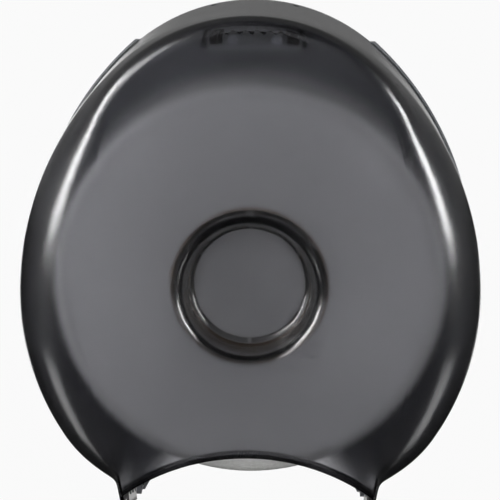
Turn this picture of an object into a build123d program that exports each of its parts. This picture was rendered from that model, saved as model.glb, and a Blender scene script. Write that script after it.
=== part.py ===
from build123d import *
import os
from math import asin, atan2, copysign, cos, degrees, radians, sin, sqrt, tan

# Jumbo toilet roll dispenser, wall mounted, in millimetres.
# The origin is on the wall plane where the roll's axis meets it. The front faces -Y, +Z is up.
# A "depth" is a distance from the wall, so it lies at Y = -depth.

# ---------------------------------------------------------------- driving dimensions
depth = 146.0  # wall to front face
half_width = 133.8  # cover rim, where it is widest
widest_height = -8.6  # and how high that is above the roll's axis
top_height = 155.0  # cover rim, crown above the roll's axis
crown_in = 22.3  # the crown's radius is this much less than the half width
draft = 0.6  # how much the cover's outline draws in from rim to front
wall = 2.6  # cover thickness

side_round = 39.0  # the front shoulder: how far it comes in at the sides
crown_round = 23.5  # and how much its crown radius shrinks
top_round = 8.0  # the crisp front edge above
lower_round = 26.0
corner_round = 9.5
shoulder_steps = 9

lower_in = 25.8  # the side's arc ends here, inwards of the half width
lower_height = -91.8
lower_facing = 32.0  # degrees below the horizontal that the outline faces there
corner_in = 53.8  # and the lower corner ends here, where the horn starts
corner_height = -114.5
corner_facing = 60.0
corner_spread = 2.0  # how much further out it is at the rim
horn_radius = 8.0  # hollow between lower corner and horn
horn_lean_rear = 0.0  # degrees from the vertical
horn_lean_front = 12.0
horn_tip_drop = 24.0  # front tips of the horns, below the arch's top

arch_top = -96.8  # underside of the front wall, below the roll's axis
arch_radius = 122.0
arch_lip_depth = 9.0
arch_bead = 1.2
arch_edge_round = 2.0
arch_edge_over = 0.15  # lets the rounding cross the front face, not just touch it

dish_radius = 39.5  # round recess in the middle of the front
dish_floor_radius = 33.5
dish_depth = 22.0
dish_rim_round = 8.0
dish_floor_round = 5.0

plate_thickness = 3.0
rim_gap = 1.0  # cover rim to plate
flange_gap = 0.8  # cover rim to the plate's side flange
flange_thickness = 1.2
flange_depth = 9.0
flange_top = 130.0
flange_bottom = -88.0
plate_arch_top = -112.0
plate_arch_radius = 74.4

mount_spacing_x = 130.0
mount_spacing_z = 150.0
mount_hole_radius = 2.75
mount_boss_radius = 9.0
mount_boss_height = 4.0
ring_radius = 60.0  # stiffening ring on the plate
rib_thickness = 2.0
rib_height = 5.0
ray_count = 8
ray_start = 22.5
horn_foot_lift = 0.5  # plate's horns end this much above the hinge bosses

hinge_depth = 13.0
hinge_drop = 146.0
hinge_boss_radius = 8.5
hinge_pin_radius = 2.5
hinge_pin_head_radius = 4.2
hinge_pin_head = 1.7
hinge_pin_head_round = 0.7
hinge_pin_head_gap = 0.3
hinge_pin_tail = 1.0  # past the clip
hinge_play = 0.06  # pin to cover, on the radius
press_play = 0.02  # pin to ear
ear_thickness = 4.0
ear_radius = 8.0
ear_foot_top = -137.0
washer_thickness = 0.8
washer_radius = 6.5
washer_play = 0.1
cover_boss_thickness = 4.0
cover_boss_stand = 0.6  # its outer face stands out of the horn's side
clip_thickness = 0.8
clip_radius = 4.5

post_pad_radius = 34.0
post_pad_height = 5.0
post_flange_radius = 32.0
post_flange = 4.0
post_radius = 10.0
post_past = 4.0  # how far the post stands out of the hub's drum
post_screw_circle = 24.0
post_screw_radius = 2.0
post_screw_head_radius = 4.0
post_screw_length = 10.0
thread_play = 0.03  # screws in their holes, on the radius
recess_width = 0.8  # arms of the cross in the screw heads
recess_depth = 1.2

running_play = 0.05  # bush on post, on the radius
bush_wall = 3.5
bush_length = 14.0
bush_inset = 0.5
bush_shoulder = 1.5
brake_thickness = 2.0
brake_radius = 22.0
hub_play = 0.3  # axial play of the hub
hub_tube_wall = 3.0
hub_flange_radius = 52.0
hub_flange = 2.5
hub_flange_front = 24.5
hub_drum_radius = 28.0
hub_wall = 2.5
hub_short = 9.6  # drum's end to the adapter's
hub_ribs = 6
hub_rib_thickness = 2.0
hub_vent_radius = 4.0
hub_flange_vent_radius = 6.4
vent_turn = 30.0  # degrees from the ribs to the vents between them

adapter_play = 0.1
adapter_radius = 41.4
adapter_wall = 2.0
adapter_short = 6.4  # adapter's end to the roll's face
adapter_ribs = 6
adapter_lead = 1.4  # bevel that leads the core on

hub_washer_radius = 15.0
hub_washer = 1.5
hub_screw_radius = 2.1
hub_screw_length = 18.0
hub_screw_head_radius = 4.6
hub_screw_head = 3.0
cap_radius = 34.0
cap_thickness = 2.5
cap_round = 1.0
cap_skirt_wall = 3.0
cap_skirt_play = 0.05
cap_play = 0.2
cap_skirt_engage = 4.0

roll_radius = 113.5
roll_rear = 25.0
roll_clear = 30.0  # roll's face to the front of the cover
core_play = 0.6  # core round the adapter, on the radius
core_wall = 1.5
paper_play = 0.05

lock_half_width = 28.2
lock_drop = 9.4  # below the crown of the cover's rim
lock_height = 21.0
lock_base = 2.5
lock_pad = 3.0
rail_height = 2.2
rail_depth = 5.5
lip_depth = 1.8
lip_height = 1.6
finger_inner = 22.7  # released, measured from the middle plane
finger_width = 4.6
finger_front = 22.0
slide_play = 0.3
finger_travel = 4.0
finger_cam = 2.0
foot_tail = 3.0  # how far the finger's foot runs in past the finger
spring_rise = 13.0  # above the lock's bottom
spring_swing = 2.4
spring_waves = 5
spring_strip = 1.3
spring_bend = 0.9
spring_lead = 4.0  # straight ends
spring_rear = 12.5
spring_front = 20.0
strike_gap = 0.7  # lock body to strike
strike_thickness = 3.5
strike_rise = 2.8
strike_rear = 9.0
strike_margin = 3.0
strike_play = 0.5
key_slot_width = 3.0
key_slot_rear = 11.5
key_slot_front = 20.5
lock_screw_x = 13.5
lock_screw_rise = 6.3
lock_screw_radius = 1.6
lock_screw_head_radius = 3.2
lock_screw_head = 2.0
lock_screw_length = 6.5

tear_thickness = 1.4
tear_height = 9.0
tear_pin_height = 5.4
tear_front_in = 14.0  # bar's front end to the front of the cover
tear_rear = 34.0
tear_pitch = 4.0
tear_tooth = 2.6
tear_play = 0.35  # to the horn's wall where the bar comes nearest
tear_pins = 3
tear_pin_radius = 1.5
tear_pin_head_radius = 2.6
tear_pin_head = 0.8
tear_pin_lift = 0.1  # head to bar
tear_pin_reach = 0.1  # out of the bar towards the wall

bumper_radius = 3.0
bumper_pocket = 2.0
bumper_clearance = 0.3
bumper_angle = 62.0  # on the crown, from the horizontal
bumper_side_height = -10.0
bumper_edge = 0.35  # rim's outer face to a bumper's edge

# ---------------------------------------------------------------- sizes that follow
rim_depth = plate_thickness + rim_gap
pad_face = plate_thickness + post_pad_height
post_flange_face = pad_face + post_flange
brake_face = post_flange_face + brake_thickness
hub_rear = brake_face + hub_play
roll_front = depth - roll_clear
roll_width = roll_front - roll_rear
adapter_front = roll_front - adapter_short
hub_drum_front = adapter_front - hub_short
post_end = hub_drum_front + post_past
hub_front = post_end - hub_play
bush_radius = post_radius + running_play + bush_wall
hub_tube_radius = bush_radius + hub_tube_wall
cap_seat = hub_drum_front - cap_skirt_engage
core_inner = adapter_radius + core_play
core_outer = core_inner + core_wall
lock_top = top_height - lock_drop
lock_bottom = lock_top - lock_height
lock_screw_height = lock_bottom + lock_screw_rise
spring_height = lock_bottom + spring_rise
strike_bottom = lock_bottom + strike_rise
lock_base_rear = plate_thickness + lock_pad
lock_base_face = lock_base_rear + lock_base
rail_front = lock_base_face + rail_depth
foot_top = lock_top - rail_height - slide_play
foot_bottom = lock_bottom + rail_height + slide_play
finger_top = foot_top - lip_height
finger_bottom = foot_bottom + lip_height
strike_inner = lock_half_width + strike_gap
foot_front = rail_front - lip_depth - slide_play
foot_outer = strike_inner - strike_play - finger_travel
slope_rear_height = -hinge_drop - hinge_boss_radius
crown_radius = half_width - crown_in
lower_point = (half_width - lower_in, lower_height)
corner_point = (half_width - corner_in, corner_height)
tear_front = depth - tear_front_in

FRONT = Plane.XZ  # sketches on it show the object as seen from the front
BIG = 400.0  # longer than the object, for cuts that go right through
TRIM = 20.0  # extra length that a later cut takes off
WELD = 0.5  # how far pieces of one moulding run into each other

os.makedirs("parts", exist_ok=True)


def write(name, part):
    part.label = name
    export_step(part, f"parts/{name}.step")


# ---------------------------------------------------------------- the cover's outline
def outline_numbers(at_depth, come_in, edge_in, skin):
    """Where the outline's arcs start and end, come_in from 0 at the rim to 1 at the face."""
    drawn = draft * at_depth / depth
    width = half_width - drawn - side_round * come_in - skin
    height = top_height - drawn - edge_in - skin
    crown = crown_radius - crown_round * come_in - skin
    crown_centre = height - crown
    rise = crown_centre - widest_height
    side = (width**2 + rise**2 - crown**2) / (2 * (width - crown))
    crown_turn = degrees(atan2(rise, side - width))

    lower_move = lower_round * come_in + drawn + skin
    lower = (
        lower_point[0] - lower_move * cos(radians(lower_facing)),
        lower_point[1] + lower_move * sin(radians(lower_facing)),
    )
    fall = widest_height - lower[1]
    lower_side = ((width - lower[0]) ** 2 + fall**2) / (2 * (width - lower[0]))
    lower_turn = asin(fall / lower_side)

    corner_move = corner_round * come_in + drawn + skin
    spread = corner_spread * (1 - at_depth / depth)
    corner = (
        corner_point[0] + spread - corner_move * cos(radians(corner_facing)),
        corner_point[1] + corner_move * sin(radians(corner_facing)),
    )
    chord = atan2(lower[0] - corner[0], lower[1] - corner[1])
    heading = 2 * chord - lower_turn
    lean = radians(horn_lean_rear + (horn_lean_front - horn_lean_rear) * at_depth / depth)
    hollow = horn_radius + skin
    horn = (
        corner[0] - hollow * (cos(lean) - cos(heading)),
        corner[1] - hollow * (sin(heading) - sin(lean)),
    )
    return dict(
        width=width,
        crown=crown,
        crown_centre=crown_centre,
        side=side,
        crown_turn=crown_turn,
        lower_side=lower_side,
        lower_turn=degrees(lower_turn),
        lower=lower,
        corner=corner,
        heading=heading,
        lean=lean,
        hollow=hollow,
        horn=horn,
    )


def horn_wall(at_depth, height, skin=0.0):
    """How far out the horn's flat side lies at a height."""
    n = outline_numbers(at_depth, 0.0, 0.0, skin)
    return n["horn"][0] - (n["horn"][1] - height) * tan(n["lean"])


def outline(at_depth, come_in, edge_in, skin, bottom):
    """A sketch of the cover's outline at a depth, closed by a straight line far below."""
    n = outline_numbers(at_depth, come_in, edge_in, skin)
    foot = n["horn"][0] - (n["horn"][1] - bottom) * tan(n["lean"])
    turn = radians(n["lower_turn"])
    heading = (-sin(n["heading"]), -cos(n["heading"]))
    with BuildSketch(FRONT.offset(at_depth)) as sketch:
        with BuildLine():
            CenterArc((0, n["crown_centre"]), n["crown"], n["crown_turn"], 90 - n["crown_turn"])
            side_centre = (n["width"] - n["side"], widest_height)
            CenterArc(side_centre, n["side"], 0, n["crown_turn"])
            lower_centre = (n["width"] - n["lower_side"], widest_height)
            CenterArc(lower_centre, n["lower_side"], 0, -n["lower_turn"])
            TangentArc(n["lower"], n["corner"], tangent=(-sin(turn), -cos(turn)))
            JernArc(n["corner"], heading, n["hollow"], degrees(n["heading"] - n["lean"]))
            Line(n["horn"], (foot, bottom))
            Line((foot, bottom), (0, bottom))
            mirror(about=Plane.YZ)
        make_face()
    return sketch.sketch


def cover_body(skin, rear, bottom):
    """A solid of the cover's outer form (skin 0) or of its hollow (skin = wall)."""
    reach = side_round - skin
    face = depth - skin
    shoulder = []
    for step in range(shoulder_steps + 1):
        angle = radians(90 * step / shoulder_steps)
        back = reach * (1 - sin(angle))
        come_in = (1 - cos(angle)) * reach / side_round
        edge = top_round - skin
        edge_in = edge - sqrt(edge**2 - max(edge - back, 0) ** 2)
        shoulder.append(outline(face - back, come_in, edge_in, skin, bottom))
    with BuildPart() as body:
        loft([outline(rear, 0, 0, skin, bottom), shoulder[0]], ruled=True)
        loft(shoulder)
        # the dish, with its rim and floor rounded
        slope = (dish_radius - dish_floor_radius) / dish_depth
        floor = depth - dish_depth - skin
        with BuildSketch(Plane.XY):
            with BuildLine():
                Polyline(
                    (0, -face - TRIM),
                    (dish_radius + skin + slope * TRIM, -face - TRIM),
                    (dish_floor_radius + skin, -floor),
                    (0, -floor),
                    close=True,
                )
            make_face()
        revolve(axis=Axis.Y, mode=Mode.SUBTRACT)
        rings = body.edges().filter_by(GeomType.CIRCLE)
        rim = rings.filter_by(lambda e: abs(e.center().Y + face) < 0.01 and abs(e.center().Z) < 0.01)
        base = rings.filter_by(lambda e: abs(e.center().Y + floor) < 0.01)
        fillet(rim, radius=dish_rim_round - skin)
        fillet(base, radius=dish_floor_round + skin)
    return body


# where the horns end and the hinge sits
horn_tip = horn_wall(depth, arch_top - horn_tip_drop)
slope_front_height = arch_top - arch_radius + sqrt(arch_radius**2 - horn_tip**2)
hinge_boss_outer = horn_wall(hinge_depth, -hinge_drop) + cover_boss_stand
hinge_boss_inner = hinge_boss_outer - cover_boss_thickness
washer_inner = hinge_boss_inner - washer_play - washer_thickness
ear_outside = washer_inner - washer_play
ear_inside = ear_outside - ear_thickness


# ---------------------------------------------------------------- the cover
outer = cover_body(0.0, rim_depth, -hinge_drop - TRIM)
hollow = cover_body(wall, rim_depth - wall, -hinge_drop - 2 * TRIM)

with BuildPart() as front_cover:
    add(outer.part)
    add(hollow.part, mode=Mode.SUBTRACT)

    # lip turned in along the arch, with a bead on its rear edge
    arch_centre = (0, arch_top - arch_radius)
    with BuildPart(mode=Mode.PRIVATE) as lip:
        with BuildSketch(FRONT.offset(depth - wall - arch_lip_depth)):
            with Locations(arch_centre):
                Circle(arch_radius + wall)
                Circle(arch_radius, mode=Mode.SUBTRACT)
        extrude(amount=arch_lip_depth + WELD)
        with BuildSketch(FRONT.offset(depth - wall - arch_lip_depth)):
            with Locations(arch_centre):
                Circle(arch_radius + wall)
                Circle(arch_radius - arch_bead, mode=Mode.SUBTRACT)
        extrude(amount=wall)
        add(outer.part, mode=Mode.INTERSECT)
    add(lip.part)

    # arch cut through the front wall by a disc that flares out, so the front edge is round
    with BuildSketch(Plane.XY.offset(arch_centre[1])):
        with BuildLine():
            edge_front = -depth - arch_edge_over
            edge_rear = edge_front + arch_edge_round
            edge_outer = arch_radius + arch_edge_round
            CenterArc((edge_outer, edge_rear), arch_edge_round, 180, 90)
            Polyline(
                (edge_outer, edge_front),
                (edge_outer, edge_front - TRIM),
                (0, edge_front - TRIM),
                (0, wall + WELD - depth),
                (arch_radius, wall + WELD - depth),
                (arch_radius, edge_rear),
            )
        make_face()
    revolve(axis=Axis((0, 0, arch_centre[1]), (0, 1, 0)), mode=Mode.SUBTRACT)

    # the sides' lower edge slopes from the horns' front tips down to the hinge
    fall = (slope_front_height - slope_rear_height) / (depth - hinge_depth)
    with BuildSketch(Plane.YZ):
        with BuildLine():
            Polyline(
                (-depth - TRIM, slope_front_height + TRIM * fall),
                (-hinge_depth, slope_rear_height),
                (-hinge_depth, -hinge_drop),
                (TRIM, -hinge_drop),
                (TRIM, -BIG),
                (-depth - TRIM, -BIG),
                close=True,
            )
        make_face()
    extrude(amount=BIG, both=True, mode=Mode.SUBTRACT)

    # hinge bosses
    for side in (1, -1):
        with BuildSketch(Plane.YZ.offset(side * hinge_boss_inner)):
            with Locations((-hinge_depth, -hinge_drop)):
                Circle(hinge_boss_radius)
        extrude(amount=side * cover_boss_thickness)
    with BuildSketch(Plane.YZ):
        with Locations((-hinge_depth, -hinge_drop)):
            Circle(hinge_pin_radius + hinge_play)
    extrude(amount=BIG, both=True, mode=Mode.SUBTRACT)

    # key slots in the top wall, over the latch fingers
    slot_depth = key_slot_front - key_slot_rear
    with BuildSketch(Plane.XY.offset(lock_top)):
        for side in (1, -1):
            with Locations((side * (finger_inner + finger_width / 2), -key_slot_rear - slot_depth / 2)):
                Rectangle(key_slot_width, slot_depth)
    extrude(amount=BIG, mode=Mode.SUBTRACT)
write("front_cover", front_cover.part)


# strike brackets hanging from the cover's top wall, each with a window for its latch finger
with BuildPart() as strike_brackets:
    for side in (1, -1):
        with BuildSketch(Plane.YZ.offset(side * strike_inner)):
            middle = -(strike_rear + finger_front + strike_margin) / 2
            with Locations((middle, strike_bottom)):
                Rectangle(
                    finger_front + strike_margin - strike_rear,
                    BIG,
                    align=(Align.CENTER, Align.MIN),
                )
            window_rear = foot_front - strike_play
            window_front = finger_front + strike_play
            with Locations((-(window_rear + window_front) / 2, (finger_top + finger_bottom) / 2)):
                Rectangle(
                    window_front - window_rear,
                    finger_top - finger_bottom + 2 * strike_play,
                    mode=Mode.SUBTRACT,
                )
        extrude(amount=side * strike_thickness)
    add(hollow.part, mode=Mode.INTERSECT)
write("strike_brackets", strike_brackets.part)


# ---------------------------------------------------------------- tear bars on the horns
def slope_height(at_depth):
    """Height of the horns' lower edge at a depth."""
    share = (at_depth - hinge_depth) / (depth - hinge_depth)
    return slope_rear_height + (slope_front_height - slope_rear_height) * share


def horn_inside(at_depth, rise):
    """How far out the horn's inner face lies, at a height above its lower edge."""
    return horn_wall(at_depth, slope_height(at_depth) + rise, wall)


# the horn's side twists, so a flat bar laid on its ends would run into it in between
tear_lean = radians((horn_lean_rear + horn_lean_front) / 2)
tear_ends = [horn_inside(at_depth, 0) for at_depth in (tear_rear, tear_front)]
tear_gap = tear_play + max(
    tear_ends[0] * (1 - share)
    + tear_ends[1] * share
    + rise * tan(tear_lean)
    - horn_inside(tear_rear + share * (tear_front - tear_rear), rise)
    for share in (0, 0.25, 0.5, 0.75, 1)
    for rise in (0, tear_height)
)


def tear_plane(side):
    """Plane of a tear bar's outer face: X runs forwards along the edge, Y up, Z inwards or outwards."""
    rear_point, front_point = (
        Vector(side * (end - tear_gap), -at_depth, slope_height(at_depth))
        for end, at_depth in zip(tear_ends, (tear_rear, tear_front))
    )
    along = front_point - rear_point
    up = Vector(side * sin(tear_lean), 0, cos(tear_lean))
    return Plane(origin=rear_point, x_dir=along, z_dir=along.cross(up))


tear_teeth = int((tear_front - tear_rear) / tear_pitch)
tear_pin_places = [
    (tear_teeth * tear_pitch * (n + 0.5) / tear_pins, tear_pin_height) for n in range(tear_pins)
]
for side, name in ((-1, "tear_bar_left"), (1, "tear_bar_right")):
    inward = -side * copysign(1, tear_plane(side).z_dir.X)
    with BuildPart() as bar:
        with BuildSketch(tear_plane(side)):
            Rectangle(tear_teeth * tear_pitch, tear_height, align=(Align.MIN, Align.MIN))
            for n in range(tear_teeth):
                with BuildLine():
                    Polyline(
                        (n * tear_pitch, 0),
                        ((n + 0.5) * tear_pitch, -tear_tooth),
                        ((n + 1) * tear_pitch, 0),
                        close=True,
                    )
                make_face()
            with Locations(*tear_pin_places):
                Circle(tear_pin_radius + press_play, mode=Mode.SUBTRACT)
        extrude(amount=inward * tear_thickness)
    write(name, bar.part)

with BuildPart() as tear_bar_pins:
    for side in (-1, 1):
        inward = -side * copysign(1, tear_plane(side).z_dir.X)
        with BuildSketch(tear_plane(side).offset(-inward * tear_pin_reach)):
            with Locations(*tear_pin_places):
                Circle(tear_pin_radius)
        extrude(amount=inward * (tear_pin_reach + tear_thickness + tear_pin_lift))
        with BuildSketch(tear_plane(side).offset(inward * (tear_thickness + tear_pin_lift))):
            with Locations(*tear_pin_places):
                Circle(tear_pin_head_radius)
        extrude(amount=inward * tear_pin_head)
write("tear_bar_pins", tear_bar_pins.part)


# ---------------------------------------------------------------- the back plate
def rim_outline(grown):
    """The cover's rim outline, grown outwards, as a sketch on the wall plane."""
    return outline(0, 0, 0, -grown, slope_rear_height + horn_foot_lift)


def circle_column(radius, places, start, length, operation=Mode.ADD):
    """Round columns standing on a plane at a depth."""
    with BuildSketch(FRONT.offset(start)) as circles:
        with Locations(*places):
            Circle(radius)
    extrude(circles.sketch, amount=length, mode=operation)


def cross_recess(span, places, face):
    """Cross recesses cut into screw heads whose faces lie at a depth."""
    with BuildSketch(FRONT.offset(face)) as cross:
        with Locations(*places):
            Rectangle(span, recess_width)
            Rectangle(recess_width, span)
    extrude(cross.sketch, amount=-recess_depth, mode=Mode.SUBTRACT)


mount_places = [
    (side * mount_spacing_x / 2, up * mount_spacing_z / 2) for side in (1, -1) for up in (1, -1)
]
post_screw_places = [
    (
        post_screw_circle * cos(radians(45 + 90 * n)),
        post_screw_circle * sin(radians(45 + 90 * n)),
    )
    for n in range(4)
]
lock_screw_places = [(side * lock_screw_x, lock_screw_height) for side in (-1, 1)]


def bumper_places():
    """Four places on the cover's rim: two on the crown and two at the sides."""
    crown_centre = top_height - crown_radius
    inset = bumper_edge + bumper_radius
    reach = crown_radius - inset
    angle = radians(bumper_angle)
    crown_place = (reach * cos(angle), crown_centre + reach * sin(angle))
    side_place = (half_width - inset, bumper_side_height)
    return [(side * x, z) for side in (1, -1) for x, z in (crown_place, side_place)]


with BuildPart() as side_band:
    with BuildSketch(FRONT):
        with Locations((0, (flange_top + flange_bottom) / 2)):
            Rectangle(BIG, flange_top - flange_bottom)
    extrude(amount=flange_depth)

with BuildPart() as flange:
    extrude(rim_outline(flange_gap + flange_thickness), amount=flange_depth, dir=FRONT.z_dir)
    extrude(rim_outline(flange_gap), amount=flange_depth, dir=FRONT.z_dir, mode=Mode.SUBTRACT)
    add(side_band.part, mode=Mode.INTERSECT)

with BuildPart() as side_plate:
    extrude(rim_outline(flange_gap + flange_thickness), amount=plate_thickness, dir=FRONT.z_dir)
    add(side_band.part, mode=Mode.INTERSECT)

with BuildPart() as back_plate:
    extrude(rim_outline(0), amount=plate_thickness, dir=FRONT.z_dir)
    add(side_plate.part)
    add(flange.part)

    # arch below
    with BuildSketch(FRONT):
        with Locations((0, plate_arch_top - plate_arch_radius)):
            Circle(plate_arch_radius)
    extrude(amount=plate_thickness, mode=Mode.SUBTRACT)

    # hinge ears
    for side in (1, -1):
        with BuildSketch(Plane.YZ.offset(side * ear_inside)):
            with Locations((-hinge_depth, -hinge_drop)):
                Circle(ear_radius)
            with Locations((-plate_thickness / 2, ear_foot_top)):
                Rectangle(
                    hinge_depth - plate_thickness / 2,
                    ear_foot_top + hinge_drop + ear_radius,
                    align=(Align.MAX, Align.MAX),
                )
        extrude(amount=side * ear_thickness)
    with BuildSketch(Plane.YZ):
        with Locations((-hinge_depth, -hinge_drop)):
            Circle(hinge_pin_radius + press_play)
    extrude(amount=BIG, both=True, mode=Mode.SUBTRACT)

    # stiffening ring and rays round the middle
    with BuildSketch(FRONT.offset(plate_thickness)):
        Circle(ring_radius + rib_thickness)
        Circle(ring_radius, mode=Mode.SUBTRACT)
        with PolarLocations((ring_radius + post_pad_radius) / 2, ray_count, start_angle=ray_start):
            Rectangle(ring_radius - post_pad_radius + rib_thickness, rib_thickness)
    extrude(amount=rib_height)

    # pads for the post, the lock and the wall screws
    circle_column(post_pad_radius, [(0, 0)], plate_thickness, post_pad_height)
    with BuildSketch(FRONT.offset(plate_thickness)):
        with Locations((0, (lock_bottom + lock_top) / 2)):
            Rectangle(2 * lock_half_width, lock_top - lock_bottom)
    extrude(amount=lock_pad)
    circle_column(mount_boss_radius, mount_places, plate_thickness, mount_boss_height)
    boss_face = plate_thickness + mount_boss_height
    circle_column(mount_hole_radius, mount_places, 0, boss_face, Mode.SUBTRACT)

    # screw holes and bumper pockets
    screw_tip = post_flange_face - post_screw_length
    circle_column(
        post_screw_radius + thread_play, post_screw_places, screw_tip, BIG, Mode.SUBTRACT
    )
    lock_screw_tip = lock_base_face - lock_screw_length
    circle_column(
        lock_screw_radius + thread_play, lock_screw_places, lock_screw_tip, BIG, Mode.SUBTRACT
    )
    circle_column(
        bumper_radius + press_play,
        bumper_places(),
        plate_thickness - bumper_pocket,
        bumper_pocket,
        Mode.SUBTRACT,
    )
write("back_plate", back_plate.part)

with BuildPart() as cover_bumpers:
    bumper_length = bumper_pocket + rim_gap - bumper_clearance
    circle_column(bumper_radius, bumper_places(), plate_thickness - bumper_pocket, bumper_length)
write("cover_bumpers", cover_bumpers.part)


# ---------------------------------------------------------------- hinge pins
def hinge_ring(inner, outer, side, start, length, operation=Mode.ADD):
    """A ring or disc on the hinge axis, from a distance out of the middle plane."""
    with BuildSketch(Plane.YZ.offset(side * start)) as ring:
        with Locations((-hinge_depth, -hinge_drop)):
            Circle(outer)
            if inner > 0:
                Circle(inner, mode=Mode.SUBTRACT)
    extrude(ring.sketch, amount=side * length, mode=operation)


pin_end = ear_inside - clip_thickness - hinge_pin_tail
pin_head_seat = hinge_boss_outer + hinge_pin_head_gap
for side, name in ((-1, "hinge_pin_left"), (1, "hinge_pin_right")):
    with BuildPart() as hinge_pin:
        hinge_ring(0, hinge_pin_radius, side, pin_end, pin_head_seat - pin_end)
        hinge_ring(0, hinge_pin_head_radius, side, pin_head_seat, hinge_pin_head)
        head_rim = hinge_pin.edges().filter_by(GeomType.CIRCLE).sort_by(Axis.X)[-1 if side > 0 else 0]
        fillet(head_rim, radius=hinge_pin_head_round)
    write(name, hinge_pin.part)

with BuildPart() as hinge_washers:
    for side in (1, -1):
        hinge_ring(
            hinge_pin_radius + hinge_play, washer_radius, side, washer_inner, washer_thickness
        )
write("hinge_washers", hinge_washers.part)

with BuildPart() as hinge_clips:
    for side in (1, -1):
        clip_start = ear_inside - clip_thickness - washer_play
        hinge_ring(hinge_pin_radius + press_play, clip_radius, side, clip_start, clip_thickness)
write("hinge_clips", hinge_clips.part)


# ---------------------------------------------------------------- post, hub and roll
def turned(points):
    """A body turned round the roll's axis from (radius, depth) points."""
    with BuildSketch(Plane.XY) as profile:
        with BuildLine():
            Polyline(*[(r, -d) for r, d in points], close=True)
        make_face()
    revolve(profile.sketch, axis=Axis.Y)


with BuildPart() as spindle_post:
    turned(
        [
            (0, pad_face),
            (post_flange_radius, pad_face),
            (post_flange_radius, post_flange_face),
            (post_radius, post_flange_face),
            (post_radius, post_end),
            (0, post_end),
        ]
    )
    circle_column(
        hub_screw_radius + thread_play,
        [(0, 0)],
        post_end - hub_screw_length,
        hub_screw_length,
        Mode.SUBTRACT,
    )
    with Locations(FRONT.offset(post_flange_face)):
        with Locations(*post_screw_places):
            CounterSinkHole(
                post_screw_radius + thread_play,
                post_screw_head_radius + thread_play,
                depth=post_flange,
            )
write("spindle_post", spindle_post.part)

with BuildPart() as spindle_screws:
    head_height = post_screw_head_radius - post_screw_radius
    circle_column(post_screw_radius, post_screw_places, screw_tip, post_screw_length)
    with Locations(FRONT.offset(post_flange_face - head_height / 2)):
        with Locations(*post_screw_places):
            Cone(post_screw_radius, post_screw_head_radius, head_height)
    cross_recess(post_screw_head_radius, post_screw_places, post_flange_face)
write("spindle_screws", spindle_screws.part)

with BuildPart() as brake_washer:
    circle_column(brake_radius, [(0, 0)], post_flange_face, brake_thickness)
    circle_column(
        post_radius + running_play, [(0, 0)], post_flange_face, brake_thickness, Mode.SUBTRACT
    )
write("brake_washer", brake_washer.part)

bush_starts = (hub_rear + bush_inset, hub_front - bush_inset - bush_length)
with BuildPart() as hub_bushes:
    for start in bush_starts:
        circle_column(bush_radius, [(0, 0)], start, bush_length)
        circle_column(post_radius + running_play, [(0, 0)], start, bush_length, Mode.SUBTRACT)
write("hub_bushes", hub_bushes.part)

with BuildPart() as roll_hub:
    flange_rear = hub_flange_front - hub_flange
    circle_column(hub_tube_radius, [(0, 0)], hub_rear, hub_front - hub_rear)
    circle_column(hub_flange_radius, [(0, 0)], flange_rear, hub_flange)
    with BuildSketch(FRONT.offset(flange_rear)):
        Circle(hub_drum_radius)
        Circle(hub_drum_radius - hub_wall, mode=Mode.SUBTRACT)
    extrude(amount=hub_drum_front - flange_rear)
    with BuildSketch(FRONT.offset(flange_rear)):
        with PolarLocations((hub_drum_radius + hub_tube_radius - hub_wall) / 2, hub_ribs):
            Rectangle(hub_drum_radius - hub_tube_radius, hub_rib_thickness)
    extrude(amount=cap_seat - cap_play - flange_rear)
    circle_column(bush_radius, [(0, 0)], hub_rear, hub_front - hub_rear, Mode.SUBTRACT)
    # shoulders between the bushes
    with BuildSketch(FRONT.offset(bush_starts[0] + bush_length)):
        Circle(bush_radius)
        Circle(bush_radius - bush_shoulder, mode=Mode.SUBTRACT)
    extrude(amount=bush_starts[1] - bush_starts[0] - bush_length)
    with BuildSketch(FRONT.offset(flange_rear)):
        with PolarLocations(
            (hub_drum_radius + hub_tube_radius - hub_wall) / 2, hub_ribs, vent_turn
        ):
            Circle(hub_vent_radius)
        with PolarLocations((hub_flange_radius + hub_drum_radius) / 2, hub_ribs, vent_turn):
            Circle(hub_flange_vent_radius)
    extrude(amount=hub_flange, mode=Mode.SUBTRACT)
write("roll_hub", roll_hub.part)

with BuildPart() as core_adapter:
    adapter_rear = hub_flange_front + adapter_play
    adapter_inner = hub_drum_radius + adapter_play
    with BuildSketch(FRONT.offset(adapter_rear)):
        Circle(adapter_radius)
        Circle(adapter_radius - adapter_wall, mode=Mode.SUBTRACT)
        Circle(adapter_inner + adapter_wall)
        Circle(adapter_inner, mode=Mode.SUBTRACT)
        with PolarLocations((adapter_radius + adapter_inner) / 2, adapter_ribs, vent_turn):
            Rectangle(adapter_radius - adapter_inner - adapter_wall, adapter_wall)
    extrude(amount=adapter_front - adapter_rear)
    lead = core_adapter.edges().filter_by(GeomType.CIRCLE).filter_by(
        lambda e: abs(e.radius - adapter_radius) < 0.01 and abs(e.center().Y + adapter_front) < 0.01
    )
    chamfer(lead, length=adapter_lead)
write("core_adapter", core_adapter.part)

with BuildPart() as hub_washer_part:
    circle_column(hub_washer_radius, [(0, 0)], post_end, hub_washer)
    circle_column(
        hub_screw_radius + thread_play, [(0, 0)], post_end, hub_washer, Mode.SUBTRACT
    )
write("hub_washer", hub_washer_part.part)

with BuildPart() as hub_screw:
    head_seat = post_end + hub_washer
    circle_column(hub_screw_radius, [(0, 0)], post_end - hub_screw_length, hub_screw_length + hub_washer)
    circle_column(hub_screw_head_radius, [(0, 0)], head_seat, hub_screw_head)
    cross_recess(hub_screw_head_radius, [(0, 0)], head_seat + hub_screw_head)
write("hub_screw", hub_screw.part)

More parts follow.
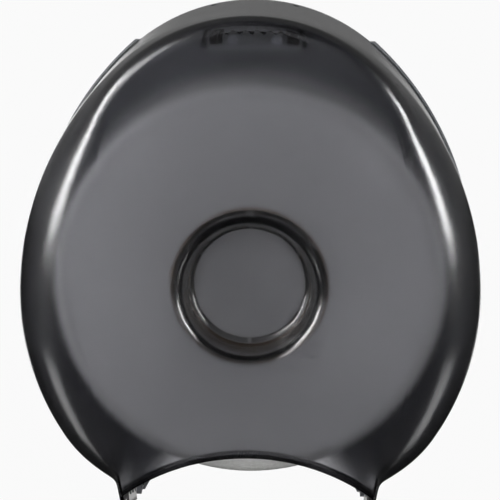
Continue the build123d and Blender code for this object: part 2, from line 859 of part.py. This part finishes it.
with BuildPart() as hub_cap:
    cap_rear = adapter_front + cap_play
    skirt_radius = hub_drum_radius - hub_wall - cap_skirt_play
    turned(
        [
            (skirt_radius - cap_skirt_wall, cap_seat),
            (skirt_radius, cap_seat),
            (skirt_radius, cap_rear),
            (cap_radius, cap_rear),
            (cap_radius, cap_rear + cap_thickness),
            (0, cap_rear + cap_thickness),
            (0, cap_rear),
            (skirt_radius - cap_skirt_wall, cap_rear),
        ]
    )
    cap_edge = hub_cap.edges().filter_by(GeomType.CIRCLE).sort_by(Axis.Y)[0]
    fillet(cap_edge, radius=cap_round)
write("hub_cap", hub_cap.part)

with BuildPart() as roll_core:
    circle_column(core_outer, [(0, 0)], roll_rear, roll_width)
    circle_column(core_inner, [(0, 0)], roll_rear, roll_width, Mode.SUBTRACT)
write("roll_core", roll_core.part)

with BuildPart() as paper_roll:
    circle_column(roll_radius, [(0, 0)], roll_rear, roll_width)
    circle_column(core_outer + paper_play, [(0, 0)], roll_rear, roll_width, Mode.SUBTRACT)
write("paper_roll", paper_roll.part)


# ---------------------------------------------------------------- the lock
def block(x0, x1, d0, d1, z0, z1, operation=Mode.ADD):
    """A block between two sides, two depths and two heights."""
    with BuildSketch(FRONT.offset(d0)) as front_view:
        with Locations(((x0 + x1) / 2, (z0 + z1) / 2)):
            Rectangle(abs(x1 - x0), z1 - z0)
    extrude(front_view.sketch, amount=d1 - d0, mode=operation)


with BuildPart() as lock_body:
    width = lock_half_width
    block(-width, width, lock_base_rear, lock_base_face, lock_bottom, lock_top)
    block(-width, width, lock_base_face, rail_front, lock_bottom, lock_bottom + rail_height)
    block(-width, width, lock_base_face, rail_front, lock_top - rail_height, lock_top)
    lip_rear = rail_front - lip_depth
    lip_bottom_top = foot_bottom + lip_height - slide_play
    lip_top_bottom = foot_top - lip_height + slide_play
    block(-width, width, lip_rear, rail_front, lock_bottom + rail_height, lip_bottom_top)
    block(-width, width, lip_rear, rail_front, lip_top_bottom, lock_top - rail_height)
    circle_column(
        lock_screw_radius + thread_play, lock_screw_places, lock_base_rear, lock_base, Mode.SUBTRACT
    )
write("lock_body", lock_body.part)

with BuildPart() as lock_screws:
    circle_column(lock_screw_radius, lock_screw_places, lock_screw_tip, lock_screw_length)
    circle_column(lock_screw_head_radius, lock_screw_places, lock_base_face, lock_screw_head)
    cross_recess(lock_screw_head_radius, lock_screw_places, lock_base_face + lock_screw_head)
write("lock_screws", lock_screws.part)

for side, name in ((-1, "latch_finger_left"), (1, "latch_finger_right")):
    with BuildPart() as finger:
        inner = side * finger_inner
        outer_face = side * (finger_inner + finger_width)
        foot_inner = side * (finger_inner - foot_tail)
        foot_rear = lock_base_face + slide_play
        block(foot_inner, side * foot_outer, foot_rear, foot_front, foot_bottom, foot_top)
        block(inner, outer_face, foot_front, finger_front, finger_bottom, finger_top)
        # cam for the key above, on the outer edge
        cam = finger.edges().filter_by(Axis.Y).filter_by(
            lambda e: abs(e.center().X - outer_face) < 0.01 and abs(e.center().Z - finger_top) < 0.01
        )
        chamfer(cam, length=finger_cam)
    write(name, finger.part)

# one unbroken zigzag strip between the fingers
spring_half = finger_inner - slide_play
with BuildPart() as latch_spring:
    with BuildSketch(FRONT.offset(spring_rear)):
        with BuildLine():
            ends = spring_half - spring_lead
            step = ends / spring_waves
            zigzag = [(-spring_half, spring_height), (-ends, spring_height)]
            for n in range(2 * spring_waves):
                swing = spring_swing if n % 2 else -spring_swing
                zigzag.append((-ends + (n + 0.5) * step, spring_height + swing))
            zigzag += [(ends, spring_height), (spring_half, spring_height)]
            FilletPolyline(*zigzag, radius=spring_bend)
        trace(line_width=spring_strip)
    extrude(amount=spring_front - spring_rear)
write("latch_spring", latch_spring.part)
clear = step - spring_strip * sqrt(1 + (2 * spring_swing / step) ** 2)
print(f"latch spring: least gap between neighbouring legs at their tips {clear:.2f} mm")
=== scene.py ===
from math import cos, pi, radians, sin

import bmesh
import bpy
from mathutils import Matrix, Vector


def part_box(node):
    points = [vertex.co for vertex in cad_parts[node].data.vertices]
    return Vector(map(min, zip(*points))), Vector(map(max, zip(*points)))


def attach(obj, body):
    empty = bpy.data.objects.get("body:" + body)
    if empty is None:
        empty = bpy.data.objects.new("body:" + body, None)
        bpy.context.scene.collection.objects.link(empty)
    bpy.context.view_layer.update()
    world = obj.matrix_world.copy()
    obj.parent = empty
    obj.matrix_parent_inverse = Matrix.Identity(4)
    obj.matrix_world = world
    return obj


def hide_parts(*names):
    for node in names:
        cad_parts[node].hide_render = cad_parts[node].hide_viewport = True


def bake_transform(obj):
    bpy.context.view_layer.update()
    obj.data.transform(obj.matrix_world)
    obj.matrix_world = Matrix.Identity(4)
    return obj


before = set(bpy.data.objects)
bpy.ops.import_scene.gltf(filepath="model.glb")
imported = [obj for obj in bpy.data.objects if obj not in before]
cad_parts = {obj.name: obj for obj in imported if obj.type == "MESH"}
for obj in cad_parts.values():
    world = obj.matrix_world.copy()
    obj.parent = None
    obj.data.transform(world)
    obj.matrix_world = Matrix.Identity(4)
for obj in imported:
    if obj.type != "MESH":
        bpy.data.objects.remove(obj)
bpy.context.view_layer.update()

# ---------------------------------------------------------------- front cover and strike brackets
# One injection moulded shell of smoke polycarbonate, 2.6 mm thick, with two brackets welded under
# its top wall that the latch fingers lock into. The tint takes a bit over half of the light at each
# pass, so the white roll shows through as a grey disc.


def linear(hex_colour):
    """An sRGB hex colour as the linear numbers that a shader takes."""
    channels = [int(hex_colour[n : n + 2], 16) / 255 for n in (1, 3, 5)]
    return [c / 12.92 if c <= 0.04045 else ((c + 0.055) / 1.055) ** 2.4 for c in channels] + [1.0]


def add_node(tree, kind, inputs=(), **settings):
    """A node with its settings, each input given a value or linked to another node's output."""
    made = tree.nodes.new(kind)
    for name, value in settings.items():
        setattr(made, name, value)
    for socket, value in dict(inputs).items():
        if isinstance(value, bpy.types.NodeSocket):
            tree.links.new(value, made.inputs[socket])
        else:
            made.inputs[socket].default_value = value
    return made


def start_material(name, **surface):
    """A material with one Principled shader, its values keyed by socket name with _ for a space."""
    material = bpy.data.materials.new(name)
    material.use_nodes = True
    shader = material.node_tree.nodes["Principled BSDF"]
    for socket, value in surface.items():
        shader.inputs[socket.replace("_", " ")].default_value = value
    return material, material.node_tree, shader


def dress(material, *names):
    """Gives CAD nodes their finish."""
    for name in names:
        for material_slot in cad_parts[name].material_slots:
            material_slot.material = material


# The skin's shine is spread a little by fine tool marks, and the tint lies in the plastic itself,
# so walls seen end on go dark.
polycarbonate_index = 1.585
clear = linear("#F4F4F6")
smoke = bpy.data.materials.new("smoke_polycarbonate")
smoke.use_nodes = True
tree = smoke.node_tree
tree.nodes.remove(tree.nodes["Principled BSDF"])
place = add_node(tree, "ShaderNodeTexCoord").outputs["Object"]
# spark eroded tool texture, drawn at 1.5 mm because the real 0.1 mm grain can't show
grain = add_node(tree, "ShaderNodeTexNoise", {"Vector": place, "Scale": 1 / 0.0015, "Detail": 2.0})
# slow waves of the moulding's shrinkage, 40 mm apart
shrink = add_node(tree, "ShaderNodeTexNoise", {"Vector": place, "Scale": 1 / 0.04, "Detail": 1.0})
fine = add_node(
    tree, "ShaderNodeBump", {"Height": grain.outputs["Fac"], "Strength": 0.04, "Distance": 0.0002}
)
skin = add_node(
    tree,
    "ShaderNodeBump",
    {
        "Height": shrink.outputs["Fac"],
        "Normal": fine.outputs[0],
        "Strength": 0.12,
        "Distance": 0.001,
    },
)
sheen = add_node(
    tree,
    "ShaderNodeMapRange",
    {
        "Value": shrink.outputs["Fac"],
        "From Min": 0.3,
        "From Max": 0.7,
        "To Min": 0.19,
        "To Max": 0.25,
    },
)
# the inside is spark eroded and hazes what lies deeper, but polished over the lock at the top
polished_from, hazy_below = 0.142, 0.128
height = add_node(tree, "ShaderNodeSeparateXYZ", {0: place})
haze = add_node(
    tree,
    "ShaderNodeMapRange",
    {
        "Value": height.outputs["Z"],
        "From Min": polished_from,
        "From Max": hazy_below,
        "To Min": 0.05,
        "To Max": 0.26,
    },
)
through = add_node(
    tree,
    "ShaderNodeBsdfRefraction",
    {
        "Color": clear,
        "Roughness": haze.outputs[0],
        "IOR": polycarbonate_index,
        "Normal": skin.outputs[0],
    },
)
shine = add_node(
    tree,
    "ShaderNodeBsdfAnisotropic",
    {"Color": (1, 1, 1, 1), "Roughness": sheen.outputs[0], "Normal": skin.outputs[0]},
)
angle = add_node(
    tree, "ShaderNodeFresnel", {"IOR": polycarbonate_index, "Normal": skin.outputs[0]}
)
plastic = add_node(
    tree,
    "ShaderNodeMixShader",
    {0: angle.outputs[0], 1: through.outputs[0], 2: shine.outputs[0]},
)
# lamps reach the roll through the plastic
seen = add_node(tree, "ShaderNodeLightPath")
open_way = add_node(tree, "ShaderNodeBsdfTransparent", {"Color": clear})
surface = add_node(
    tree,
    "ShaderNodeMixShader",
    {0: seen.outputs["Is Shadow Ray"], 1: plastic.outputs[0], 2: open_way.outputs[0]},
)
tree.links.new(surface.outputs[0], tree.nodes["Material Output"].inputs["Surface"])
tint = add_node(
    tree, "ShaderNodeVolumeAbsorption", {"Color": (0.0, 0.0, 0.02, 1.0), "Density": 300.0}
)
tree.links.new(tint.outputs[0], tree.nodes["Material Output"].inputs["Volume"])
dress(smoke, "front_cover", "strike_brackets")

# ---------------------------------------------------------------- back plate and spindle post
# The plate is moulded in grey ABS with ribs, pads and the hinge ears; the post is screwed to
# it. Both have the dull, finely pitted skin of a textured mould.
plate_abs, tree, shader = start_material("textured_grey_abs", Roughness=0.5, IOR=1.54)
place = add_node(tree, "ShaderNodeTexCoord").outputs["Object"]
pits = add_node(tree, "ShaderNodeTexNoise", {"Vector": place, "Scale": 1 / 0.0012, "Detail": 3.0})
clouds = add_node(tree, "ShaderNodeTexNoise", {"Vector": place, "Scale": 1 / 0.06, "Detail": 2.0})
tone = add_node(tree, "ShaderNodeValToRGB", {"Fac": clouds.outputs["Fac"]})
tone.color_ramp.elements[0].position = 0.35
tone.color_ramp.elements[0].color = linear("#7A7C80")
tone.color_ramp.elements[1].position = 0.65
tone.color_ramp.elements[1].color = linear("#84868A")
tree.links.new(tone.outputs["Color"], shader.inputs["Base Color"])
bump = add_node(
    tree, "ShaderNodeBump", {"Height": pits.outputs["Fac"], "Strength": 0.25, "Distance": 0.0002}
)
tree.links.new(bump.outputs[0], shader.inputs["Normal"])
dress(plate_abs, "back_plate", "spindle_post")

# ---------------------------------------------------------------- paper roll
# A 9 inch jumbo roll of two-ply tissue, wound tight on its core. Its corners are rounded by
# handling and its sides dish in a little, with the wound edges of the paper as fine uneven rings.
low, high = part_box("paper_roll")
roll_outer = high[0]
core_play = 0.00005
roll_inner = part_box("roll_core")[1][0] + core_play
corner = 0.009
dishing = 0.0006
form = bmesh.new()
# half of the cut through the roll's wall: out along the front, round the corner, back, and in again
front, rear = low[1], high[1]
section = [
    (roll_inner, front),
    ((roll_inner + roll_outer) / 2, front + dishing),
    (roll_outer, front),
    (roll_outer, rear),
    ((roll_inner + roll_outer) / 2, rear - dishing),
    (roll_inner, rear),
]
points = [form.verts.new((x, y, 0)) for x, y in section]
for pair in zip(points, points[1:] + points[:1]):
    form.edges.new(pair)
bmesh.ops.bevel(
    form,
    geom=[points[2], points[3]],
    affect="VERTICES",
    offset=corner,
    segments=6,
    profile=0.5,
    material=-1,
)
bmesh.ops.spin(
    form,
    geom=form.verts[:] + form.edges[:],
    cent=(0, 0, 0),
    axis=(0, 1, 0),
    dvec=(0, 0, 0),
    angle=2 * pi,
    steps=128,
    use_merge=True,
)
bmesh.ops.recalc_face_normals(form, faces=form.faces)
mesh = bpy.data.meshes.new("tissue_roll")
form.to_mesh(mesh)
form.free()
mesh.shade_smooth()
# the bore's edges stay sharp, the bevel's steps don't
mesh.set_sharp_from_angle(angle=radians(35))
roll = bpy.data.objects.new("tissue_roll", mesh)
bpy.context.scene.collection.objects.link(roll)
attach(roll, "roll")
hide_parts("paper_roll")

tissue, tree, shader = start_material("wound_tissue", Roughness=0.95, IOR=1.4)
place = add_node(tree, "ShaderNodeTexCoord").outputs["Object"]
# rings round the roll's axis, every 1.6 mm: the real plies are 0.1 mm apart
# (a wave texture repeats every pi / 10 of its coordinate at scale 1)
ring_spacing = 0.0016
rings = add_node(
    tree,
    "ShaderNodeTexWave",
    {
        "Vector": place,
        "Scale": pi / (10 * ring_spacing),
        "Distortion": 1.5,
        "Detail": 2.0,
        "Detail Scale": 0.5,
    },
    wave_type="RINGS",
    rings_direction="Y",
)
# embossed cushions of the sheet, 3 mm apart, and its loose fibres
emboss = add_node(tree, "ShaderNodeTexVoronoi", {"Vector": place, "Scale": 1 / 0.003})
fluff = add_node(tree, "ShaderNodeTexNoise", {"Vector": place, "Scale": 1 / 0.002, "Detail": 4.0})
tone = add_node(tree, "ShaderNodeValToRGB", {"Fac": fluff.outputs["Fac"]})
tone.color_ramp.elements[0].position = 0.3
tone.color_ramp.elements[0].color = linear("#EAEAE6")
tone.color_ramp.elements[1].position = 0.7
tone.color_ramp.elements[1].color = linear("#F4F4F1")
tree.links.new(tone.outputs["Color"], shader.inputs["Base Color"])
relief = None
for pattern, strength, deep in (
    (rings.outputs["Fac"], 0.12, 0.0004),
    (emboss.outputs["Distance"], 0.3, 0.0004),
    (fluff.outputs["Fac"], 0.35, 0.0006),
):
    inputs = {"Height": pattern, "Strength": strength, "Distance": deep}
    if relief:
        inputs["Normal"] = relief.outputs[0]
    relief = add_node(tree, "ShaderNodeBump", inputs)
tree.links.new(relief.outputs[0], shader.inputs["Normal"])
roll.data.materials.append(tissue)

# ---------------------------------------------------------------- roll core
# Grey-brown board wound in a spiral, with the seam of each turn showing and short fibres in it.
board, tree, shader = start_material("spiral_wound_board", Roughness=0.9, IOR=1.45)
place = add_node(tree, "ShaderNodeTexCoord").outputs["Object"]
# the strips are 60 mm wide, so a seam comes round every 60 mm of depth, slanted along its turn
strip_width = 0.06
slant = add_node(tree, "ShaderNodeMapping", {"Vector": place, "Rotation": (0, 0, radians(20))})
seams = add_node(
    tree,
    "ShaderNodeTexWave",
    {"Vector": slant.outputs[0], "Scale": pi / (10 * strip_width), "Distortion": 0.3},
    bands_direction="Y",
    wave_profile="SAW",
)
fibres = add_node(tree, "ShaderNodeTexNoise", {"Vector": place, "Scale": 1 / 0.0015, "Detail": 5.0})
mottle = add_node(
    tree,
    "ShaderNodeMath",
    {0: seams.outputs["Fac"], 1: 0.25, 2: fibres.outputs["Fac"]},
    operation="MULTIPLY_ADD",
)
tone = add_node(tree, "ShaderNodeValToRGB", {"Fac": mottle.outputs[0]})
tone.color_ramp.elements[0].position = 0.3
tone.color_ramp.elements[0].color = linear("#8E7860")
tone.color_ramp.elements[1].position = 0.9
tone.color_ramp.elements[1].color = linear("#B09A80")
tree.links.new(tone.outputs["Color"], shader.inputs["Base Color"])
bump = add_node(
    tree, "ShaderNodeBump", {"Height": mottle.outputs[0], "Strength": 0.3, "Distance": 0.0003}
)
tree.links.new(bump.outputs[0], shader.inputs["Normal"])
dress(board, "roll_core")

# ---------------------------------------------------------------- hub, adapter and cap
# Natural white polypropylene mouldings that carry the core and turn on the post. The cap is what
# shows through the floor of the cover's dish.


def moulded(name, dark, light, roughness, ior, grain, depth):
    """A moulded plastic: cloudy colour, a fine skin of pits and a sheen that varies a little."""
    material, tree, shader = start_material(name, IOR=ior)
    place = add_node(tree, "ShaderNodeTexCoord").outputs["Object"]
    # flow of the plastic in the mould, in clouds of 30 mm
    flow = add_node(tree, "ShaderNodeTexNoise", {"Vector": place, "Scale": 1 / 0.03, "Detail": 3.0})
    tone = add_node(tree, "ShaderNodeValToRGB", {"Fac": flow.outputs["Fac"]})
    tone.color_ramp.elements[0].position = 0.35
    tone.color_ramp.elements[0].color = linear(dark)
    tone.color_ramp.elements[1].position = 0.65
    tone.color_ramp.elements[1].color = linear(light)
    tree.links.new(tone.outputs["Color"], shader.inputs["Base Color"])
    pits = add_node(
        tree, "ShaderNodeTexNoise", {"Vector": place, "Scale": 1 / grain, "Detail": 3.0}
    )
    sheen = add_node(
        tree,
        "ShaderNodeMapRange",
        {"Value": pits.outputs["Fac"], "To Min": roughness - 0.06, "To Max": roughness + 0.06},
    )
    tree.links.new(sheen.outputs[0], shader.inputs["Roughness"])
    bump = add_node(
        tree, "ShaderNodeBump", {"Height": pits.outputs["Fac"], "Strength": 0.3, "Distance": depth}
    )
    tree.links.new(bump.outputs[0], shader.inputs["Normal"])
    return material


white_pp = moulded("white_polypropylene", "#DCDCD8", "#E6E6E2", 0.42, 1.49, 0.0012, 0.00015)
dress(white_pp, "roll_hub", "core_adapter", "hub_cap")

# ---------------------------------------------------------------- bushes and hinge washers
# White acetal, machined smooth and slippery.
acetal = moulded("white_acetal", "#E0DFD8", "#E8E7E1", 0.3, 1.48, 0.0008, 0.00008)
dress(acetal, "hub_bushes", "hinge_washers")

# ---------------------------------------------------------------- brake washer
# Pressed grey wool felt that keeps the roll from running on: a mat of short fibres, no gloss.
felt, tree, shader = start_material("pressed_felt", Roughness=1.0, Sheen_Weight=0.4)
place = add_node(tree, "ShaderNodeTexCoord").outputs["Object"]
wool = add_node(
    tree,
    "ShaderNodeTexNoise",
    {"Vector": place, "Scale": 1 / 0.0012, "Detail": 6.0, "Distortion": 1.5},
)
tone = add_node(tree, "ShaderNodeValToRGB", {"Fac": wool.outputs["Fac"]})
tone.color_ramp.elements[0].position = 0.3
tone.color_ramp.elements[0].color = linear("#5C5A58")
tone.color_ramp.elements[1].position = 0.7
tone.color_ramp.elements[1].color = linear("#807E7B")
tree.links.new(tone.outputs["Color"], shader.inputs["Base Color"])
bump = add_node(
    tree, "ShaderNodeBump", {"Height": wool.outputs["Fac"], "Strength": 0.8, "Distance": 0.0006}
)
tree.links.new(bump.outputs[0], shader.inputs["Normal"])
dress(felt, "brake_washer")

# ---------------------------------------------------------------- screws, washer, clips and pins
# Zinc plated steel: the plating is a mosaic of pale bluish and duller grains over fine drawing
# marks.


def plain_metal(name, dark, light, roughness, grain, depth, stretch):
    """A bare or plated metal with a grain, drawn out along one axis where stretch isn't 1."""
    material, tree, shader = start_material(name, Metallic=1.0)
    place = add_node(tree, "ShaderNodeTexCoord").outputs["Object"]
    drawn = add_node(tree, "ShaderNodeMapping", {"Vector": place, "Scale": (1, stretch, 1)})
    grains = add_node(
        tree, "ShaderNodeTexNoise", {"Vector": drawn.outputs[0], "Scale": 1 / grain, "Detail": 4.0}
    )
    tone = add_node(tree, "ShaderNodeValToRGB", {"Fac": grains.outputs["Fac"]})
    tone.color_ramp.elements[0].position = 0.3
    tone.color_ramp.elements[0].color = linear(dark)
    tone.color_ramp.elements[1].position = 0.7
    tone.color_ramp.elements[1].color = linear(light)
    tree.links.new(tone.outputs["Color"], shader.inputs["Base Color"])
    sheen = add_node(
        tree,
        "ShaderNodeMapRange",
        {"Value": grains.outputs["Fac"], "To Min": roughness - 0.08, "To Max": roughness + 0.08},
    )
    tree.links.new(sheen.outputs[0], shader.inputs["Roughness"])
    bump = add_node(
        tree,
        "ShaderNodeBump",
        {"Height": grains.outputs["Fac"], "Strength": 0.25, "Distance": depth},
    )
    tree.links.new(bump.outputs[0], shader.inputs["Normal"])
    return material


zinc = plain_metal("zinc_plated_steel", "#B4B9C0", "#CDD0D2", 0.35, 0.0015, 0.00005, 1.0)
dress(
    zinc,
    "spindle_screws",
    "hub_screw",
    "hub_washer",
    "lock_screws",
    "hinge_clips",
    "tear_bar_pins",
)

# ---------------------------------------------------------------- tear bars
# Stainless strip with stamped teeth, riveted inside each horn. The rolling marks run along the bar,
# 0.05 mm apart on the real strip and drawn ten times coarser here.
stainless = plain_metal("stamped_stainless", "#8C8B88", "#A9A8A4", 0.38, 0.0005, 0.00004, 0.06)
dress(stainless, "tear_bar_left", "tear_bar_right")

# ---------------------------------------------------------------- lock body
# Light grey nylon guide in which the fingers slide, nearly the colour of the plate behind it.
guide_nylon = moulded("light_grey_nylon", "#A6A8AB", "#B2B4B6", 0.5, 1.53, 0.0012, 0.00015)
dress(guide_nylon, "lock_body")

# ---------------------------------------------------------------- latch fingers and hinge pins
# Black acetal, moulded smooth and worn a little by sliding.
black_acetal = moulded("black_acetal", "#0D0D0D", "#151515", 0.38, 1.48, 0.001, 0.0001)
dress(black_acetal, "latch_finger_left", "latch_finger_right", "hinge_pin_left", "hinge_pin_right")

# ---------------------------------------------------------------- latch spring
# One zigzag of blackened spring strip, 1.3 mm thick, held between the two fingers. It is made
# in two halves that meet in the middle.
low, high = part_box("latch_spring")
strip_rear, strip_front = high[1], low[1]
strip_end, strip_middle = high[0], (low[2] + high[2]) / 2
strip_thick = 0.0013
lead = 0.004  # straight end of the strip
swing = 0.0024
waves = 5  # in each half
step = (strip_end - lead) / waves
blackened = plain_metal("blackened_spring_steel", "#0C0C0D", "#17171A", 0.42, 0.001, 0.00004, 1.0)
for side, finger in ((-1, "latch_left"), (1, "latch_right")):
    form = bmesh.new()
    corners = [(strip_end, 0), (strip_end - lead, 0)]
    for n in range(waves):
        # the middle of the whole strip is halfway down a leg
        corners.append((strip_end - lead - (n + 0.5) * step, (-1) ** n * side * swing))
    corners.append((0, 0))
    line = [form.verts.new((side * x, strip_rear, strip_middle + z)) for x, z in corners]
    runs = [form.edges.new(pair) for pair in zip(line, line[1:])]
    bmesh.ops.subdivide_edges(form, edges=runs, cuts=2)
    drawn_out = bmesh.ops.extrude_edge_only(form, edges=form.edges[:])["geom"]
    moved = [v for v in drawn_out if isinstance(v, bmesh.types.BMVert)]
    bmesh.ops.translate(form, vec=(0, strip_front - strip_rear, 0), verts=moved)
    mesh = bpy.data.meshes.new("zigzag")
    form.to_mesh(mesh)
    form.free()
    zigzag = bpy.data.objects.new("zigzag_left" if side < 0 else "zigzag_right", mesh)
    bpy.context.scene.collection.objects.link(zigzag)
    rounding = zigzag.modifiers.new("bends", "SUBSURF")
    rounding.levels = rounding.render_levels = 2
    gauge = zigzag.modifiers.new("gauge", "SOLIDIFY")
    gauge.thickness = strip_thick
    gauge.offset = 0
    gauge.use_even_offset = True
    bpy.context.view_layer.update()
    graph = bpy.context.evaluated_depsgraph_get()
    final = bpy.data.meshes.new_from_object(zigzag.evaluated_get(graph))
    zigzag.modifiers.clear()
    form = bmesh.new()
    form.from_mesh(final)
    bmesh.ops.recalc_face_normals(form, faces=form.faces)
    form.to_mesh(mesh)
    form.free()
    mesh.materials.append(blackened)
    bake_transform(zigzag)
    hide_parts("latch_spring")

# ---------------------------------------------------------------- cover bumpers
# Soft black rubber plugs that the cover's rim shuts against, dull and faintly dusty.
rubber = moulded("soft_rubber", "#171717", "#222221", 0.8, 1.52, 0.001, 0.0002)
dress(rubber, "cover_bumpers")

# ---------------------------------------------------------------- studio
# The dispenser hangs over a floor far below, in front of a white background. A soft lamp in front
# and a weak one on each side light it; gloss and glass see a dark tent with bright boards instead.
floor_height = -0.6
mesh = bpy.data.meshes.new("studio_floor")
form = bmesh.new()
bmesh.ops.create_grid(form, x_segments=1, y_segments=1, size=40.0)
bmesh.ops.translate(form, vec=(0, 0, floor_height), verts=form.verts)
form.to_mesh(mesh)
form.free()
floor = bpy.data.objects.new("studio_floor", mesh)
bpy.context.scene.collection.objects.link(floor)


def shows(tree):
    """1 where the camera sees a surface itself, or in gloss or through glass, and 0 elsewhere."""
    seen = add_node(tree, "ShaderNodeLightPath")
    shown = None
    for ray in ("Is Camera Ray", "Is Transmission Ray", "Is Glossy Ray"):
        if shown is None:
            shown = seen.outputs[ray]
        else:
            inputs = {0: shown, 1: seen.outputs[ray]}
            shown = add_node(tree, "ShaderNodeMath", inputs, operation="MAXIMUM").outputs[0]
    return shown


# the floor looks white, but keeps a twentieth of its own grey for the object's shadow
matt_grey, tree, shader = start_material(
    "matt_grey_floor", Roughness=0.9, Base_Color=linear("#808080")
)
white = add_node(tree, "ShaderNodeEmission", {"Color": (1, 1, 1, 1), "Strength": 1.0})
share = add_node(tree, "ShaderNodeMath", {0: shows(tree), 1: 0.95}, operation="MULTIPLY")
mixed = add_node(
    tree, "ShaderNodeMixShader", {0: share.outputs[0], 1: shader.outputs[0], 2: white.outputs[0]}
)
tree.links.new(mixed.outputs[0], tree.nodes["Material Output"].inputs["Surface"])
mesh.materials.append(matt_grey)


def reflected(name, form, strength_low, strength_high, z_low, z_high):
    """A stage sheet that only shows in gloss and glass, its light rising between two heights."""
    mesh = bpy.data.meshes.new(name)
    form.to_mesh(mesh)
    form.free()
    sheet = bpy.data.objects.new(name, mesh)
    bpy.context.scene.collection.objects.link(sheet)
    for kind in ("camera", "diffuse", "volume_scatter", "shadow"):
        setattr(sheet, "visible_" + kind, False)
    material = bpy.data.materials.new(name)
    material.use_nodes = True
    tree = material.node_tree
    tree.nodes.remove(tree.nodes["Principled BSDF"])
    where = add_node(tree, "ShaderNodeTexCoord")
    height = add_node(tree, "ShaderNodeSeparateXYZ", {0: where.outputs["Object"]})
    level = add_node(
        tree,
        "ShaderNodeMapRange",
        {
            "Value": height.outputs["Z"],
            "From Min": z_low,
            "From Max": z_high,
            "To Min": strength_low,
            "To Max": strength_high,
        },
    )
    glow = add_node(tree, "ShaderNodeEmission", {"Strength": level.outputs[0]})
    tree.links.new(glow.outputs[0], tree.nodes["Material Output"].inputs["Surface"])
    mesh.materials.append(material)


# a dark tent round the set, which gives the cover its dark edges: the half behind is a little
# lighter above the object
tent_radius, tent_depth = 2.4, 0.1
tent_foot, tent_top = floor_height + 0.02, 1.6
for name, half_turn, light in (("tent_rear", pi, 0.17), ("tent_front", -pi, 0.01)):
    form = bmesh.new()
    section = ((0, tent_foot), (tent_radius, tent_foot), (tent_radius, tent_top), (0, tent_top))
    line = [form.verts.new((x, tent_depth, z)) for x, z in section]
    bmesh.ops.spin(
        form,
        geom=line + [form.edges.new(pair) for pair in zip(line, line[1:])],
        cent=(0, tent_depth, 0),
        axis=(0, 0, 1),
        dvec=(0, 0, 0),
        angle=half_turn,
        steps=24,
    )
    reflected(name, form, 0.01, light, 0.0, 0.2)


def outwards(azimuth, elevation):
    """The direction from the object at these degrees, counted from the front towards +X and up."""
    turn, lift = radians(azimuth), radians(elevation)
    return Vector((sin(turn) * cos(lift), -cos(turn) * cos(lift), sin(lift)))


# white boards: two behind for the top wall, one lower that shines through the horns, two low in
# front for the sides' lower curves, one high on the left for the broad sheen of the upper shoulder,
# and one on each side for the bright streaks down the sides
for name, azimuth, elevation, distance, half_width, half_height, strength in (
    ("board_rear_left", -166, -2, 2.0, 0.33, 0.18, 1.6),
    ("board_rear_right", 166, -2, 2.0, 0.25, 0.16, 0.6),
    ("board_rear_low", 180, -20, 1.6, 0.9, 0.34, 1.1),
    ("board_low_left", -72, -30, 0.9, 0.14, 0.14, 2.6),
    ("board_low_right", 72, -30, 0.9, 0.14, 0.14, 2.6),
    ("board_high_left", -42, 32, 1.5, 0.3, 0.2, 8.0),
    ("board_side_left", -66, 18, 1.6, 0.26, 0.5, 18.0),
    ("board_side_right", 68, 15, 1.6, 0.2, 0.42, 20.0),
):
    form = bmesh.new()
    bmesh.ops.create_grid(form, x_segments=1, y_segments=1, size=1.0)
    bmesh.ops.scale(form, vec=(half_width, half_height, 1), verts=form.verts)
    away = outwards(azimuth, elevation)
    facing = away.to_track_quat("Z", "Y").to_matrix()
    bmesh.ops.rotate(form, cent=(0, 0, 0), matrix=facing, verts=form.verts)
    bmesh.ops.translate(form, vec=away * distance, verts=form.verts)
    reflected(name, form, strength, strength, 0.0, 1.0)

world = bpy.data.worlds.new("studio")
world.use_nodes = True
bpy.context.scene.world = world
tree = world.node_tree
level = add_node(tree, "ShaderNodeMapRange", {"Value": shows(tree), "To Min": 0.25, "To Max": 1.0})
background = tree.nodes["Background"]
background.inputs["Color"].default_value = (1, 1, 1, 1)
tree.links.new(level.outputs[0], background.inputs["Strength"])


def soft_lamp(name, azimuth, elevation, distance, width, height, radiance):
    """A rectangular lamp that faces the dispenser and leaves the gloss to the boards."""
    lamp = bpy.data.lights.new(name, "AREA")
    lamp.shape = "RECTANGLE"
    lamp.size = width
    lamp.size_y = height
    lamp.energy = radiance * pi * width * height
    holder = bpy.data.objects.new(name, lamp)
    away = outwards(azimuth, elevation)
    middle = Vector((0, -0.07, 0))
    holder.location = middle + away * distance
    holder.rotation_euler = away.to_track_quat("Z", "Y").to_euler()
    holder.visible_camera = False
    holder.visible_glossy = False
    bpy.context.scene.collection.objects.link(holder)


soft_lamp("lamp_left", -60, 21, 1.8, 0.9, 1.2, 1.4)
soft_lamp("lamp_right", 60, 18, 1.8, 0.9, 0.9, 1.2)
soft_lamp("lamp_front", -4, 20, 1.7, 1.1, 0.8, 6.0)

# ---------------------------------------------------------------- camera
# The photograph's view: 9.5 degrees from above, hardly turned, from 1.35 m.
lens = bpy.data.cameras.new("camera")
lens.sensor_width = 36.0
lens.lens = 172.9
lens.clip_end = 100.0
camera = bpy.data.objects.new("camera", lens)
view_turn, view_lift = 0.9, 9.5
away = outwards(view_turn, view_lift)
upwards = outwards(view_turn + 180, 90 - view_lift)
front_centre = Vector((0.0003, -0.146, 0))
camera.location = front_centre + upwards * 0.0236 + away * 1.35
# the photograph leans half a degree clockwise
lean = Matrix.Rotation(radians(0.5), 3, "Z")
camera.rotation_euler = (away.to_track_quat("Z", "Y").to_matrix() @ lean).to_euler()
bpy.context.scene.collection.objects.link(camera)
bpy.context.scene.camera = camera
bpy.context.scene.view_settings.view_transform = "Standard"
